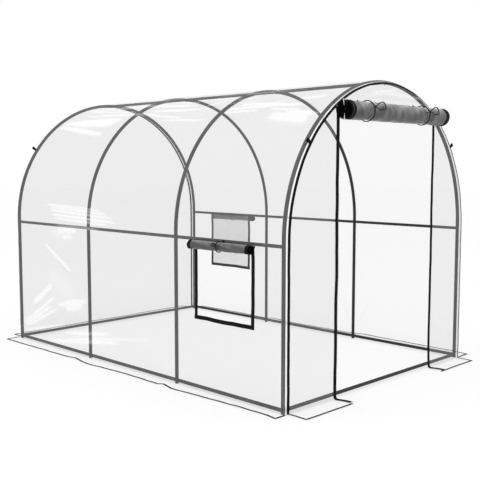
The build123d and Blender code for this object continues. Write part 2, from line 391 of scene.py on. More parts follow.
def rubbed(name, scale, detail, tones, smooth, dull):
    """A finish whose tone and roughness vary together in fine patches."""
    made = new_material(name)
    place = add(made, "TexCoord")
    rub = add(made, "TexNoise", {"Vector": place, "Scale": scale, "Detail": detail})
    colour = add(made, "ValToRGB", {"Fac": rub}, tones)
    rough = add(made, "MapRange", {"Value": rub, "To Min": smooth, "To Max": dull})
    return coat(made, Base_Color=colour, Roughness=rough)


def moulded_acetal():
    """Black acetal zip teeth: smooth moulded plastic, a little polished by the slider."""
    made = rubbed("moulded_acetal", 180.0, 2.0, [(0.3, "#09090A"), (0.8, "#161617")], 0.22, 0.45)
    return coat(made, IOR=1.48)


def blackened_screw():
    """Zinc-plated screw heads, blackened: a metal that is darker and brighter in fine patches."""
    made = rubbed("black_zinc_plate", 700.0, 3.0, [(0.3, "#2E2E30"), (0.7, "#5A5A5C")], 0.3, 0.5)
    return coat(made, Metallic=1.0)


def insect_netting():
    """Woven polyester insect net: fine grey threads with open holes between, seen as a grey veil."""
    made = new_material("insect_netting")
    cloth = add(made, "UVMap", uv_map="cloth")
    # a real net has a thread each 1.2 mm, drawn each 4 mm so that it shows close up
    threads = [add(made, "TexWave", {"Vector": cloth, "Scale": 39.0}, bands_direction=way, wave_profile="SIN")
               for way in ("X", "Y")]
    either = add(made, "Math", dict(enumerate(threads)), operation="MAXIMUM")
    thread = add(made, "MapRange", {"Value": either, "From Min": 0.78, "From Max": 0.95,
                                    "To Min": 0.22, "To Max": 0.68})
    soil = add(made, "TexNoise", {"Vector": cloth, "Scale": 12.0, "Detail": 3.0})
    colour = add(made, "ValToRGB", {"Fac": soil}, [(0.3, "#8E8E8E"), (0.7, "#A6A6A5")])
    return coat(made, Base_Color=colour, Alpha=thread, Roughness=0.7)


def studio_floor():
    """Opal acrylic of a light table, lit evenly from below, with a very faint tooth."""
    made = new_material("opal_acrylic")
    place = add(made, "TexCoord")
    tooth = add(made, "TexNoise", {"Vector": place, "Scale": 30.0, "Detail": 2.0})
    colour = add(made, "ValToRGB", {"Fac": tooth}, [(0.3, "#A4A4A4"), (0.7, "#A8A8A8")])
    return coat(made, Base_Color=colour, Roughness=0.95, Specular_IOR_Level=0.0,
                Emission_Color=(1, 1, 1, 1), Emission_Strength=0.61)


steel = powder_coated_steel()
# clear film, its wrinkle crests carrying a white painted highlight
film = polyethylene("polyethylene_film", "#A8A8A8", "#B6B6B6", cover=0.187, mottle=0.01,
                    shine_tone="#FFFFFF", shine_alpha=0.7, glint_gain=8.0)
# film on the rolls: dark, with a pale painted light where their shine is high
rolled_film = polyethylene("rolled_polyethylene_film", "#222222", "#444444", cover=0.95, mottle=0.04,
                           shine_tone="#DCDCDC", shine_alpha=0.95, glint_gain=1.0)
tape = woven_tape("woven_polyester_tape", "#070708", "#19191A", 0.002)
webbing = woven_tape("woven_webbing", "#050506", "#161617", 0.003)
hem_tape = woven_tape("hem_binding_tape", "#0C0C0D", "#242426", 0.0015)
cord_black = braided_cord()
acetal = moulded_acetal()
netting = insect_netting()
screw_black = blackened_screw()

for name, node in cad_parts.items():
    if name.startswith("hoop_") or name.endswith("_rail") or name == "base_bars":
        node.data.materials.clear()
        node.data.materials.append(steel)


# The main cover: one sheet over the hoops, from skirt edge to skirt edge

wall_h = spring_z - GROUND_LIFT
cover_w = 2 * (skirt_reach + wall_h) + math.pi * film_r


def on_wall(z):
    """Distance over the cover, from its left edge, to a height on the left wall."""
    return skirt_reach + z - GROUND_LIFT


def on_arch(degrees):
    """The same to an angle up the arch, from the left spring line."""
    return skirt_reach + wall_h + film_r * math.radians(degrees)


def ground_wave(x, y):
    """Height of the film where it lies on the ground."""
    wave = np.sin(9.0 * y + 3.1 * x) * np.sin(23.0 * y - 7.0 * x) + 0.5 * np.sin(41.0 * y + 17.0 * x)
    return GROUND_LIFT + 0.0018 * (1 + wave / 1.5)


# outer edge of each long skirt, as (y, reach from the wall) along it
SKIRT_EDGE = {
    -1: [(-1.515, 0.086), (-1.444, 0.071), (-1.222, 0.074), (-1.057, 0.080), (-0.606, 0.105), (-0.491, 0.069),
         (-0.457, 0.099), (-0.113, 0.090), (0.341, 0.118), (0.549, 0.083), (0.619, 0.098), (1.515, 0.113)],
    1: [(-1.515, 0.13), (-1.396, 0.15), (-0.498, 0.165), (-0.447, 0.138), (-0.236, 0.128), (0.285, 0.115),
        (0.559, 0.15), (0.591, 0.106), (0.962, 0.13), (1.515, 0.12)],
}


def skirt_edge(side, y):
    """Reach of a long skirt from the wall, at a place along it."""
    ys, reach = zip(*SKIRT_EDGE[side])
    return np.interp(y, ys, reach)


# Wrinkles measured on the photograph: where each starts and ends, its half width, its height and
# its shine, a painted highlight along its crest. A place is how far up the cover, in metres on the
# left wall and in degrees on the arch, and how far along it.
WALL_WRINKLES = [
    (0.835, 1.073, 0.642, 0.705, 0.013, 0.004, 0.6),
    (0.337, 1.264, 0.508, 0.997, 0.02, 0.005, 0.6),
    (0.147, 1.417, 0.416, 0.957, 0.013, 0.004, 0.5),
    (0.132, 1.402, 0.337, 1.004, 0.012, 0.004, 0.45),
    (0.118, 1.386, 0.333, 0.901, 0.012, 0.003, 0.35),
    (0.078, 1.421, 0.209, 0.805, 0.013, 0.003, 0.3),
    (0.356, 0.915, 0.439, 0.495, 0.02, 0.004, 0.3),
    (0.352, 0.80, 0.400, 0.56, 0.034, 0.004, 0.5),
    (0.05, 1.05, 0.174, 0.1, 0.015, 0.002, 0.3),
    (0.147, 0.80, 0.224, 0.2, 0.015, 0.002, 0.25),
    (0.11, 0.75, 0.26, -0.3, 0.016, 0.002, 0.12),
    (0.62, 1.10, 0.45, 0.62, 0.13, 0.002, 0.06),
    (0.959, 0.891, 0.967, 0.612, 0.016, 0.002, 0.3),
    (0.900, 0.822, 0.916, 0.682, 0.014, 0.002, 0.2),
    (0.93, 1.0, 0.95, 0.65, 0.05, 0.002, 0.08),
    (0.997, 0.919, 0.992, 0.311, 0.011, 0.003, 0.25),
]
ARCH_WRINKLES = [
    (7.9, 1.059, 6.4, 0.307, 0.009, 0.003, 0.39),
    (6.6, 0.99, 5.1, 0.22, 0.009, 0.003, 0.39),
    (5.3, 0.986, 3.6, 0.16, 0.009, 0.003, 0.52),
    (3.4, 0.959, 1.9, 0.125, 0.009, 0.004, 0.65),
    (1.8, 0.93, 0.6, 0.2, 0.009, 0.003, 0.39),
    (50.5, 1.367, 43.5, 0.661, 0.02, 0.005, 0.75),
    (53.5, 1.357, 53.6, 0.581, 0.028, 0.006, 0.9),
    (52.8, 1.193, 51.3, 0.62, 0.04, 0.005, 0.6),
    (59.8, 1.177, 56.9, 0.487, 0.011, 0.004, 0.72),
    (65.6, 1.307, 59.6, 0.488, 0.011, 0.004, 0.65),
    (70.1, 1.247, 66.1, 0.695, 0.011, 0.003, 0.52),
    (59.8, 0.304, 58.2, -0.365, 0.011, 0.004, 0.78),
    (65.2, 0.433, 62.3, -0.181, 0.011, 0.003, 0.52),
    (56.6, 0.283, 52.3, -0.16, 0.011, 0.003, 0.39),
    (51.8, 0.069, 49.3, -0.447, 0.011, 0.003, 0.33),
    (68.5, 0.228, 65.8, -0.142, 0.011, 0.003, 0.45),
    (60.9, -0.301, 64.7, -0.455, 0.011, 0.003, 0.59),
    (55.8, -0.584, 57.4, -1.051, 0.011, 0.004, 0.78),
    (59.7, -0.681, 56.6, -1.247, 0.015, 0.005, 0.9),
    (53.6, -0.596, 54.5, -0.895, 0.011, 0.003, 0.45),
    (64.1, -0.566, 66.1, -0.737, 0.011, 0.003, 0.52),
    (50.7, -1.033, 46.4, -1.414, 0.045, 0.005, 0.35),
    (52.2, -1.168, 49.2, -1.469, 0.018, 0.004, 0.4),
    (55, -0.995, 53, -1.275, 0.011, 0.003, 0.45),
    (61.5, -1.168, 62, -1.398, 0.02, 0.004, 0.35),
]
MEASURED = [(over(start), along, over(end), *rest)
            for over, rows in ((on_wall, WALL_WRINKLES), (on_arch, ARCH_WRINKLES))
            for start, along, end, *rest in rows]


def fold_lines():
    """Wrinkles that the photograph doesn't show apart: ripples beside the ridge and faint fans from
    the feet of the hoops, as the same film has all over. Each carries a faint painted highlight."""
    chance = np.random.default_rng(7)
    high = 0.003
    lines = []
    for _ in range(48):
        angle = 90.0 + chance.choice([-1, 1]) * chance.uniform(4, 38)
        y0 = chance.uniform(-1.4, 1.0)
        y1 = y0 + chance.uniform(0.35, 0.95)
        tilt = chance.uniform(-2.5, 2.5)
        lines.append((on_arch(angle), y0, on_arch(angle + tilt), y1, chance.uniform(0.008, 0.02), high,
                      chance.uniform(0.03, 0.25)))
    for side in SIDES.values():
        for y in np.repeat(hoop_ys, 4):
            lean, length = chance.uniform(-1.0, 1.0), chance.uniform(0.25, 0.5)
            over, along = length * math.cos(lean), length * math.sin(lean)
            u0, u1 = on_wall(0.06), on_wall(0.06) + over
            if side > 0:
                u0, u1 = cover_w - u0, cover_w - u1
            lines.append((u0, y, u1, y + along, 0.018, high, chance.uniform(0.0, 0.03)))
    return lines


# The film wraps round the end hoops as far as WRAP and runs straight on to the seam
wrap_r = film_r - hoop_x
to_seam = math.hypot(sheet_y - hoop_ys[0], turned_r - hoop_x)
WRAP = math.pi / 2 - (math.atan2(turned_r - hoop_x, sheet_y - hoop_ys[0]) + math.acos(wrap_r / to_seam))
wrap_end = hoop_ys[0] + wrap_r * WRAP
half_length = wrap_end + math.sqrt(to_seam**2 - wrap_r**2)


def turned_in(v):
    """Place along the tunnel, and how far the film has turned in, at a distance along the cloth."""
    bend = np.clip((np.abs(v) - hoop_ys[0]) / wrap_r, 0, WRAP)
    rest = np.clip(np.abs(v) - wrap_end, 0, None)
    y = np.minimum(np.abs(v), hoop_ys[0]) + wrap_r * np.sin(bend) + rest * math.cos(WRAP)
    return np.sign(v) * y, wrap_r * (1 - np.cos(bend)) + rest * math.sin(WRAP)


def less_haze(shine, clear):
    """Shine with the film's haze less by clear, except where the painted highlight on a wrinkle's crest is.
    """
    return shine - clear * (1 - np.clip(8 * shine, 0, 1))


SAG = 0.009  # the film's fall between two hoops
FOOT_CALM, WALL_RUN = 0.05, 0.88  # a wall's film is held below this height, and sags over this run
ZIP_CALM, CALM_RUN = 0.04, 0.09  # round a window it is held this far, and sags in full beyond the run
SEAM_GLINT_W = 0.0125  # strip beside the seam, past the end hoop, painted with a highlight where the film bends to the seam


def cover_shape(s, v):
    """The cover over its hoops, from s, the distance over it from its left edge, and v, along it."""
    y, drop = turned_in(v)
    left = s < cover_w / 2
    side = np.where(left, -1.0, 1.0)
    t = np.where(left, s, cover_w - s)
    out = np.clip(1 - t / skirt_reach, 0, 1)  # 1 at the skirt's outer edge, 0 at the wall
    z = np.clip(t - skirt_reach, 0, wall_h) + GROUND_LIFT
    turn = np.clip(t - skirt_reach - wall_h, 0, None) / film_r

    height, shine = ridges(s, v, MEASURED + fold_lines())
    bays = np.interp(y, hoop_ys[::-1], range(len(hoop_ys)))
    phase = bays % 1
    slack = np.where(np.abs(y) < hoop_ys[0], 4 * phase * (1 - phase), 0)  # 0 on a hoop, 1 between two
    on_panel = np.sin(math.pi * np.clip((z - FOOT_CALM) / WALL_RUN, 0, 1))
    panel = np.where(turn > 0, np.sin(2 * turn), on_panel) ** 2
    middle_y = np.where(left, window_ys[-1], window_ys[1])
    middle_z = (window_low.z + window_high.z) / 2
    gap = np.hypot(
        np.clip(np.abs(y - middle_y) - WINDOW_W / 2 - ZIP_CALM, 0, None),
        np.clip(np.abs(z + film_r * turn - middle_z) - WINDOW_H / 2 - ZIP_CALM, 0, None),
    )
    calm = np.clip(gap / CALM_RUN, 0, 1)
    inside = np.clip((hoop_ys[0] - np.abs(y)) / 0.03, 0, 1)  # no wrinkle passes the end hoops
    belly = -SAG + 0.0025 * np.sin(11 * s + 5 * y) + 0.0015 * np.sin(29 * y - 9 * s)
    lift = calm * (slack * panel * belly + height * inside)
    # painted highlight: a strip beside the seam is painted near white
    seam_glint = np.clip((np.abs(v) - half_length + SEAM_GLINT_W) / 0.0025, 0, 1) * (out <= 0)
    shine = np.clip(shine * (calm * 0.7 + 0.3) + 0.95 * seam_glint, 0, 1)

    # the film grows clearer from the ridge down its right side
    right_clear = np.where(left, 0, RIGHT_CLEAR * np.clip((math.pi / 2 - turn) / (math.pi / 4), 0, 1))
    shine = less_haze(shine, np.where(out > 0, SKIRT_CLEAR, right_clear))

    reach = out * np.where(left, skirt_edge(-1, y), skirt_edge(1, y))
    radial = np.where(out > 0, 0, lift) - drop * (1 - out)
    x = side * ((film_r + radial) * np.cos(turn) + reach)
    up = np.where(turn > 0, spring_z + (film_r + radial) * np.sin(turn), z)
    up = np.where(out > 0, ground_wave(x, y) + np.clip(height, 0, 0.002), up)
    return np.stack([x, y, up], 1), np.stack([s, v], 1), shine


# steps of the cover's grid, by the edges of its parts and the size of their wrinkles
wall_knots = [0, skirt_reach, on_wall(window_low.z), on_wall(window_high.z), on_arch(0)]
far_knots = [on_arch(72), on_arch(180), *[cover_w - k for k in wall_knots[3::-1]]]
cover_rows = [spread(wall_knots, 0.0098)[:-1], spread([on_arch(0), on_arch(9)], 0.005)[:-1],
              spread([on_arch(9), on_arch(42)], 0.015)[:-1], spread([on_arch(42), on_arch(72)], 0.006)[:-1],
              spread(far_knots, 0.0205)]
half_knots = [hoop_ys[0], *np.linspace(hoop_ys[0], wrap_end, 4)[1:], half_length - 0.013,
              half_length - 0.010, half_length]
length_knots = sorted([0, *half_knots, *[-k for k in half_knots],
                       *[mid + half * WINDOW_W / 2 for mid in window_ys.values() for half in (-1, 1)]])
middle = length_knots.index(0)
cover_columns = np.concatenate([spread(length_knots[: middle + 1], 0.0165)[:-1],
                                spread(length_knots[middle:], 0.0112)])
main_cover = grid_sheet("main_cover", np.concatenate(cover_rows), cover_columns, cover_shape)


def in_window(centre, normal):
    """Whether a face of the cover lies in one of the windows."""
    off = abs(centre.y - window_ys[math.copysign(1, centre.x)])
    return abs(centre.x) > hoop_x / 2 and off < WINDOW_W / 2 and window_low.z < centre.z < window_high.z


edit_faces(main_cover, in_window)
bpy.ops.mesh.delete(type="FACE")
bpy.ops.object.mode_set(mode="OBJECT")
settle(main_cover, film, "clear_film", "roof_film", "left_wall_film", "right_wall_film", "left_skirt",
       "right_skirt")


# End panels, each with its own skirt

def arch_half_width(z):
    """Half the width of an end panel at a height."""
    return np.sqrt(np.clip(panel_r**2 - np.clip(z - spring_z, 0, None) ** 2, 0, None))


def end_edge(end, x):
    """Outer edge of an end skirt, from the panel."""
    if end > 0:
        return np.interp(x, (-0.99, -0.3, 0.25, 0.7, 0.99), (0.118, 0.132, 0.121, 0.149, 0.14))
    return np.interp(x, (-0.99, -0.56, 0.56, 1.0), (0.128, 0.131, 0.118, 0.116))


def end_heights(top):
    """Rows up a panel, closer together where the arch comes round."""
    round_top = math.asin(min(1, (top - spring_z) / panel_r))
    over = spring_z + panel_r * np.sin(np.linspace(0, round_top, 70))
    return np.concatenate([spread([GROUND_LIFT, spring_z], 0.016)[:-1], over[:-1], [top]])


def end_sheet(name, end, span, top, lines, belly, columns, *stands_for):
    """An end panel from its skirt's edge up to top, divided into this many columns.

    span gives x at the panel's two edges for each height, and belly is how far it sags inwards.
    """
    skirt_rows = spread([-end_skirt_reach, 0], 0.012)[:-1]

    def place(u, v):
        z = np.clip(v, GROUND_LIFT, None)
        x0, x1 = span(z)
        x = x0 + (x1 - x0) * u
        out = np.clip(-v / end_skirt_reach, 0, 1)
        height, shine = ridges(x, v, lines)
        # the panel is held at its edges, its foot and its top
        room = np.clip((x - np.minimum(x0, x1)) * (np.maximum(x0, x1) - x) / 0.04, 0, 1)
        room *= np.clip((z - 0.03) / 0.3, 0, 1) * np.clip((top + 0.001 - z) / 0.25, 0, 1)
        fall = -belly * (1 + 0.4 * np.sin(5 * x + 3 * z))
        swell = room * (fall + 0.002 * np.sin(17 * x - 6 * z)) + height * room
        y = end * (end_y + swell + out * end_edge(end, x))
        up = np.where(out > 0, ground_wave(x, y), z)
        shine = less_haze(shine, np.where(out > 0, SKIRT_CLEAR, BACK_CLEAR * (end > 0)))
        return np.stack([x, y, up], 1), np.stack([x, v], 1), shine

    rows = np.concatenate([skirt_rows, end_heights(top)])
    piece = grid_sheet(name, spread([0, 1], 1 / columns), rows, place)
    merge_points(piece)
    return settle(piece, film, "clear_film", *stands_for)


# wrinkles of the panels, from a place across and a height to another, then as on the cover
BACK_LINES = [
    (-0.95, 0.08, -0.5, 0.55, 0.02, 0.005, 0.03), (-0.95, 0.06, -0.35, 0.33, 0.016, 0.004, 0.02),
    (0.95, 0.08, 0.45, 0.62, 0.02, 0.005, 0.03), (0.95, 0.06, 0.3, 0.3, 0.016, 0.004, 0.02),
    (-0.2, 1.05, 0.5, 1.2, 0.03, 0.005, 0.02), (-0.6, 1.5, -0.1, 1.35, 0.02, 0.004, 0.02),
    (0.1, 1.75, 0.5, 1.5, 0.02, 0.004, 0.02), (-0.1, 0.4, 0.35, 0.75, 0.025, 0.004, 0.02),
]
FRONT_LINES = [
    (-0.93, 0.08, -0.62, 0.5, 0.014, 0.002, 0.01), (-0.6, 1.1, -0.75, 1.45, 0.012, 0.002, 0.02),
    (0.93, 0.08, 0.64, 0.45, 0.014, 0.002, 0.01), (0.6, 1.15, 0.76, 1.4, 0.012, 0.002, 0.02),
]
TOP_LINES = [
    (-0.4, 1.87, 0.45, 1.88, 0.008, 0.003, 0.5), (-0.2, 1.94, 0.4, 1.92, 0.01, 0.003, 0.3),
    (-0.3, 1.89, 0.1, 1.97, 0.01, 0.003, 0.25),
]
FRONT_SPANS = {
    "left": lambda z: (-arch_half_width(z), np.full_like(z, -door_half)),
    "right": lambda z: (np.full_like(z, door_half), arch_half_width(z)),
}
back_film = end_sheet("back_film", 1, lambda z: (arch_half_width(z), -arch_half_width(z)),
                      spring_z + panel_r, BACK_LINES, 0.014, 70, "back_panel", "back_skirt")
front_films = [end_sheet(f"front_{name}_film", -1, span, door_top, FRONT_LINES, 0.004, 34,
                         f"front_{name}_panel", f"front_{name}_skirt")
               for name, span in FRONT_SPANS.items()]


def top_shape(u, v):
    """The panel over the door, from the door's straight top up to the arch."""
    rise = spring_z + np.sqrt(panel_r**2 - u**2) - door_top
    z = door_top + v * rise
    height, shine = ridges(u, z, TOP_LINES)
    room = np.clip(v * (1 - v) * rise / 0.02, 0, 1)
    y = -(end_y + room * (height - 0.003 + 0.002 * np.sin(14 * u)))
    return np.stack([u, y, z], 1), np.stack([u, z], 1), shine


front_top_film = grid_sheet(
    "front_top_film", spread([-door_half, 0, door_half], 0.014), np.linspace(0, 1, 14), top_shape
)
merge_points(front_top_film)
settle(front_top_film, film, "clear_film", "front_top_panel")


# Hems round the skirts' edges: a thin binding tape

HEM_W, HEM_THICK = 0.014, 0.0012
HEM_LIFT = 0.0006  # the tape's middle above the film's
HEM_STEP = 0.012  # between the tape's rows


def hem(name, corners):
    """Binding along a skirt's edge, on the ground."""
    run = []
    for (x0, y0), (x1, y1) in zip(corners, corners[1:]):
        count = max(2, round(math.hypot(x1 - x0, y1 - y0) / HEM_STEP))
        run += [(x0 + (x1 - x0) * k / count, y0 + (y1 - y0) * k / count) for k in range(count)]
    run = np.array([*run, corners[-1]])
    path = np.column_stack([run, ground_wave(run[:, 0], run[:, 1]) + HEM_LIFT])
    piece = ribbon(f"{name}_skirt_hem", path, (0, 0, 1), HEM_W, HEM_LIFT, HEM_THICK, columns=2)
    return settle(piece, hem_tape, "black_tape")


def end_hem(name, end, xs, *close):
    """Binding along an end skirt, from the panel's corner at the first of xs."""
    return hem(name, [(xs[0], end * end_y), *[(x, end * (end_y + end_edge(end, x))) for x in xs], *close])


for name, side in SIDES.items():
    ys = np.array([y for y, _ in SKIRT_EDGE[side]])
    ys[0], ys[-1] = -sheet_y, sheet_y
    outer = [(side * (film_r + skirt_edge(side, y)), y) for y in ys]
    hem(name, [(side * film_r, -sheet_y), *outer, (side * film_r, sheet_y)])
end_hem("back", 1, np.linspace(-panel_r, panel_r, 9), (panel_r, end_y))
for name, side in SIDES.items():
    end_hem(f"front_{name}", -1, np.linspace(panel_r, door_half, 5) * side)


# Binding tape over the corner between the cover and each end panel

SEAM_W, SEAM_CROWN, SEAM_THICK = 0.0155, 0.0028, 0.0011
SEAM_STEP = 0.015  # between the tape's rows


def corner_seam(end_name, end):
    """Tape from the ground up one side of the end, over the arch and down the other side."""
    leg = turned_r + HALF_FILM - panel_r
    straight = spread([0.004, spring_z], SEAM_STEP)[:-1]
    turns = np.linspace(0, math.pi, 210)
    turn = np.concatenate([np.zeros_like(straight), turns, np.full_like(straight, math.pi)])
    z = np.concatenate([straight, spring_z + 0 * turns, straight[::-1]])
    out = np.stack([-np.cos(turn), 0 * turn, np.sin(turn)], 1)
    length = np.arange(len(turn)) * SEAM_STEP
    r = panel_r + leg / 2 + 0.002 + wander(length, 0.0007, 0.42, 3 + end)
    y = end * (sheet_y + leg / 2 - 0.0008 + wander(length, 0.0009, 0.31, 9))
    path = out * r[:, None] + np.stack([0 * z, y, z], 1)
    facing = unit(out + np.array([0, end, 0]))
    piece = ribbon(f"{end_name}_seam_tape", path, facing, SEAM_W, SEAM_CROWN, SEAM_THICK)
    return settle(piece, tape, "black_tape", f"{end_name}_seam")


seams = {end_name: corner_seam(end_name, end) for end_name, end in ENDS.items()}


# Webbing loops for guy ropes: a folded length of webbing with its ends caught in the seam

LOOP_ANGLE = math.radians(36)  # up the arch from the spring line
LOOP_W, LOOP_THICK = 0.020, 0.0013
# the loop's outline from its caught ends, as (out of the seam, along the tunnel)
LOOP_OUTLINE = [(0.0, 0.0009), (0.013, 0.0012), (0.026, 0.0045), (0.037, 0.0052), (0.042, 0.0),
                (0.037, -0.0052), (0.026, -0.0045), (0.013, -0.0012), (0.0, -0.0009)]


def webbing_loop(name, side, end):
    """A loop that stands out of an end's seam on one side of the arch."""
    out = np.array([side * math.cos(LOOP_ANGLE), 0, math.sin(LOOP_ANGLE)])
    across = np.array([-side * math.sin(LOOP_ANGLE), 0, math.cos(LOOP_ANGLE)])
    foot = np.array([0, end * (sheet_y + 0.004), spring_z]) + out * (turned_r - 0.002)
    path = smooth_run([foot + out * a + np.array([0, b, 0]) for a, b in LOOP_OUTLINE], 0.0022)
    facing = np.cross(unit(np.gradient(path, axis=0)), across)
    piece = ribbon(name, path, facing, LOOP_W, 0.0, LOOP_THICK, columns=4)
    return settle(piece, webbing, "black_tape", "guy_loops")


loops = [webbing_loop(f"{end_name}_{name}_webbing_loop", side, end)
         for end_name, end in ENDS.items() for name, side in SIDES.items()]


# Zips: woven tape with a row of teeth near one edge

TOOTH = (0.0032, 0.0022, 0.0026)  # along X, Y and Z
TOOTH_STEP = 0.0052
TOOTH_INSET = 0.001  # from the tape's edge to the middle of its teeth
ZIP_W = 0.0285
WINDOW_ZIP_W = 0.0265
LOOSE_BELOW, LOOSE_RUN = 1.8, 0.4  # the door's tape hangs free below this height, in full after the run


def tooth():
    """One zip tooth, its edges bevelled."""
    bpy.ops.object.select_all(action="DESELECT")
    bpy.ops.mesh.primitive_cube_add(size=1, scale=TOOTH)
    piece = bpy.context.object
    bpy.ops.object.transform_apply(scale=True)
    bpy.ops.object.mode_set(mode="EDIT")
    bpy.ops.mesh.select_all(action="SELECT")
    bpy.ops.mesh.bevel(offset=0.0006, segments=1)
    bpy.ops.object.mode_set(mode="OBJECT")
    return piece


def teeth_row(start, end):
    """Teeth from one point to another, an even step apart."""
    start, run = np.array(start), np.subtract(end, start)
    piece = tooth()
    modify(piece, "ARRAY", count=int(np.linalg.norm(run) / TOOTH_STEP), use_relative_offset=False,
           use_constant_offset=True, constant_offset_displace=unit(run) * TOOTH_STEP)
    shift_points(piece, lambda points: start)
    return piece


def door_zip(name, side):
    """Zip tape up one side of the doorway, curled forwards, with its tail along the skirt."""
    low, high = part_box(f"{name}_door_zip")
    middle = (low.x + high.x) / 2
    face = -end_y - 0.0025

    def hang(z):
        """How far the tape hangs off its line at a height, to the side and along the tunnel."""
        kick = side * 0.006 * np.exp(-z / 0.12)
        loose = np.clip((LOOSE_BELOW - z) / LOOSE_RUN, 0, 1)
        return wander(z, 0.0035, 0.9, 21 + side) * loose + kick, wander(z, 0.001, 0.4, 5)

    zs = spread([0.03, high.z], 0.014)[::-1]
    aside, forwards = hang(zs)
    upright = np.column_stack([middle + aside, face + forwards, zs])
    foot_x = upright[-1, 0]
    tail = [(foot_x, face - 0.002, 0.014), (foot_x + 0.003, face - 0.012, 0.0058),
            (foot_x + 0.014, face - 0.045, 0.0060), (foot_x + 0.022, face - 0.085, 0.0058),
            (foot_x + 0.021, -end_y - 0.12, 0.0062)]
    path = smooth_run(np.concatenate([upright, tail]), 0.011)
    facing = np.cross(unit(np.gradient(path, axis=0)), (1, 0, 0))
    piece = ribbon(f"{name}_door_zip_tape", path, facing, ZIP_W, 0.0052, 0.0012, columns=8)
    settle(piece, tape, "black_tape", f"{name}_door_zip")
    edge, tip = middle - side * (ZIP_W / 2 - TOOTH_INSET), face - 0.0022
    row = teeth_row((edge, tip, 0.05), (edge, tip, high.z - 0.005))
    shift_points(row, lambda points: np.column_stack([*hang(points[:, 2]), 0 * points[:, 2]]))
    row.name = f"{name}_door_zip_teeth"
    settle(row, acetal, "black_tape")
    return piece, row


door_zips = {name: door_zip(name, side) for name, side in SIDES.items()}


def window_zip(name, side):
    """Zip tape down the sides of a window and along its bottom, lapped square at the corners."""
    low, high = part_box(f"{name}_window_zip")
    x = side * (film_r + HALF_FILM + 0.0022)
    over_side = x + side * 0.0013  # the tape along the bottom lies over the ends of the other two
    y0, y1, z0 = low.y + 0.011, high.y - 0.011, low.z + 0.011
    half = WINDOW_ZIP_W / 2

    def sway(points):
        """How far points of the tape lie off its straight lines."""
        return np.column_stack([0 * points[:, 0], wander(points[:, 2], 0.003, 0.5, 31 + side),
                                wander(points[:, 1], 0.0025, 0.45, 35 + side)])

    strips = []
    for a, b in (((x, y0, window_high.z), (x, y0, z0 - half)), ((x, y1, window_high.z), (x, y1, z0 - half)),
                 ((over_side, y0 - half, z0), (over_side, y1 + half, z0))):
        path = np.linspace(a, b, 50)
        strips.append(ribbon("strip", path + sway(path), (side, 0, 0), WINDOW_ZIP_W, 0.0022, 0.0011))
    piece = join(f"{name}_window_zip_tape", strips)
    settle(piece, tape, "black_tape", f"{name}_window_zip")

    tip = x + side * 0.0015
    inner = half - TOOTH_INSET
    corners = [(tip, y0 + inner, z0 + inner), (tip, y1 - inner, z0 + inner)]
    tops = [(tip, y, window_high.z - 0.005) for _, y, _ in corners]
    row = join(f"{name}_window_zip_teeth",
               [teeth_row(a, b) for a, b in (*zip(corners, tops), corners)])
    shift_points(row, sway)
    settle(row, acetal, "black_tape")
    return piece, row


window_zips = {name: window_zip(name, side) for name, side in SIDES.items()}


# Insect net in the right window

def screen_shape(u, v):
    """The net in the window, bowed in a little at its middle."""
    across, up = (u - window_low.y) / WINDOW_W, (v - window_low.z) / WINDOW_H
    bow = 0.004 * np.sin(math.pi * across) * np.sin(math.pi * up)
    return np.stack([film_r - bow - 0.0004, u, v], 1), np.stack([u, v], 1), np.zeros_like(u)


screen = grid_sheet("right_window_net", spread([window_low.y, window_high.y], 0.02),
                    spread([window_low.z, window_high.z], 0.02), screen_shape)
settle(screen, netting, "mesh", "right_window_screen")


# The door and the windows, rolled up from their lower edges

ROLL_STEP = 0.012  # between the grid's lines across a roll
LUMP = 0.0035  # height of the roll's lumps and creases
PINCH, PINCH_W = 0.0045, 0.032  # depth and half width of the waist under a tie
BAND_PROUD = 0.0012  # the zip's tape, wound with the film, stands out by this
BAND_PAST = 0.0015  # and reaches past the roll's end by this


